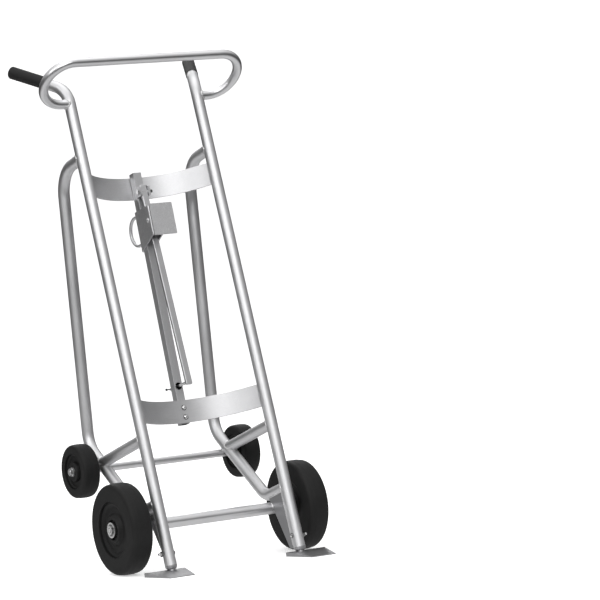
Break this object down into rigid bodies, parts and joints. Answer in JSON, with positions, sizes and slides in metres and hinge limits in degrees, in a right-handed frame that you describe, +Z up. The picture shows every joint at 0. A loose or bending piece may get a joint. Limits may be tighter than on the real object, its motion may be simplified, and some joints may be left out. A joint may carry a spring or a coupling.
{
  "type": "drum hand truck",
  "caption": "Tubular drum dolly on main and rear wheels, with curved back bands, toe plates and a sliding chime hook on a guide bar.",
  "frame": {"origin": "on the floor under the middle of the bounding box", "axes": "+Z up, -Y towards the drum, +Y towards the operator, +X to the right seen from the drum side"},
  "size_m": [0.643, 0.6564, 1.43],
  "materials": {
    "tube_aluminium": "satin",
    "band_aluminium": "brushed",
    "gusset_aluminium": "satin",
    "toe_casting": "cast, lightly polished",
    "bar_steel": "zinc plated, dull",
    "zinc_steel": "galvanised, speckled",
    "fastener_zinc": "bright zinc",
    "bearing_steel": "satin",
    "hub_black": "matte",
    "tyre_rubber": "matte rubber",
    "grip_vinyl": "satin vinyl"
  },
  "bodies": {
    "frame": {"band_screws": "fastener_zinc", "clevis": "bar_steel", "front_axle": "fastener_zinc", "front_axle_nuts": "fastener_zinc", "front_axle_sleeves": "fastener_zinc", "front_axle_tube": "tube_aluminium", "front_axle_washers": "fastener_zinc", "guide_bar": "bar_steel", "left_brace": "tube_aluminium", "left_grip": "grip_vinyl", "left_gusset": "gusset_aluminium", "left_rail": "tube_aluminium", "left_rear_tube": "tube_aluminium", "left_toe": "toe_casting", "loop_handle": "tube_aluminium", "lower_band": "band_aluminium", "pivot_bolt": "fastener_zinc", "pivot_nut": "fastener_zinc", "rear_axle": "fastener_zinc", "rear_axle_nuts": "fastener_zinc", "rear_axle_tube": "tube_aluminium", "rear_axle_washers": "fastener_zinc", "right_brace": "tube_aluminium", "right_grip": "grip_vinyl", "right_gusset": "gusset_aluminium", "right_rail": "tube_aluminium", "right_rear_tube": "tube_aluminium", "right_toe": "toe_casting", "toe_bolts": "fastener_zinc", "toe_nuts": "fastener_zinc", "upper_band": "band_aluminium"},
    "carriage": {"carriage_pin": "zinc_steel", "carriage_sleeve": "zinc_steel", "hook_blade": "zinc_steel", "hook_neck": "zinc_steel", "pull_loop": "zinc_steel"},
    "lock": {"cotter_pin": "fastener_zinc", "lock_bar": "bar_steel", "lock_rod": "bar_steel"},
    "main_wheel_left": {"main_wheel_bearing_left": "bearing_steel", "main_wheel_hub_left": "hub_black", "main_wheel_tyre_left": "tyre_rubber"},
    "main_wheel_right": {"main_wheel_bearing_right": "bearing_steel", "main_wheel_hub_right": "hub_black", "main_wheel_tyre_right": "tyre_rubber"},
    "rear_wheel_left": {"rear_wheel_bearing_left": "bearing_steel", "rear_wheel_hub_left": "hub_black", "rear_wheel_tyre_left": "tyre_rubber"},
    "rear_wheel_right": {"rear_wheel_bearing_right": "bearing_steel", "rear_wheel_hub_right": "hub_black", "rear_wheel_tyre_right": "tyre_rubber"}
  },
  "joints": [
    {"name": "carriage_slide", "type": "slide", "parent": "frame", "child": "carriage", "axis": [0, -0.2247, -0.9744], "range_m": [-0.02, 0.25]},
    {"name": "lock_swing", "type": "hinge", "parent": "frame", "child": "lock", "pos_m": [0, 0.12564, 1.0445], "axis": [1, 0, 0], "range_deg": [-0.4, 3.6]},
    {"name": "main_wheel_left_spin", "type": "hinge", "parent": "frame", "child": "main_wheel_left", "pos_m": [-0.2814, -0.10805, 0.127], "axis": [1, 0, 0], "continuous": true},
    {"name": "rear_wheel_left_spin", "type": "hinge", "parent": "frame", "child": "rear_wheel_left", "pos_m": [-0.261, 0.15195, 0.27647], "axis": [1, 0, 0], "continuous": true},
    {"name": "main_wheel_right_spin", "type": "hinge", "parent": "frame", "child": "main_wheel_right", "pos_m": [0.2814, -0.10805, 0.127], "axis": [1, 0, 0], "continuous": true},
    {"name": "rear_wheel_right_spin", "type": "hinge", "parent": "frame", "child": "rear_wheel_right", "pos_m": [0.261, 0.15195, 0.27647], "axis": [1, 0, 0], "continuous": true}
  ],
  "couplings": [
    {"joint": "lock_swing", "follows": "carriage_slide", "rad_per_m": 0.2443}
  ]
}
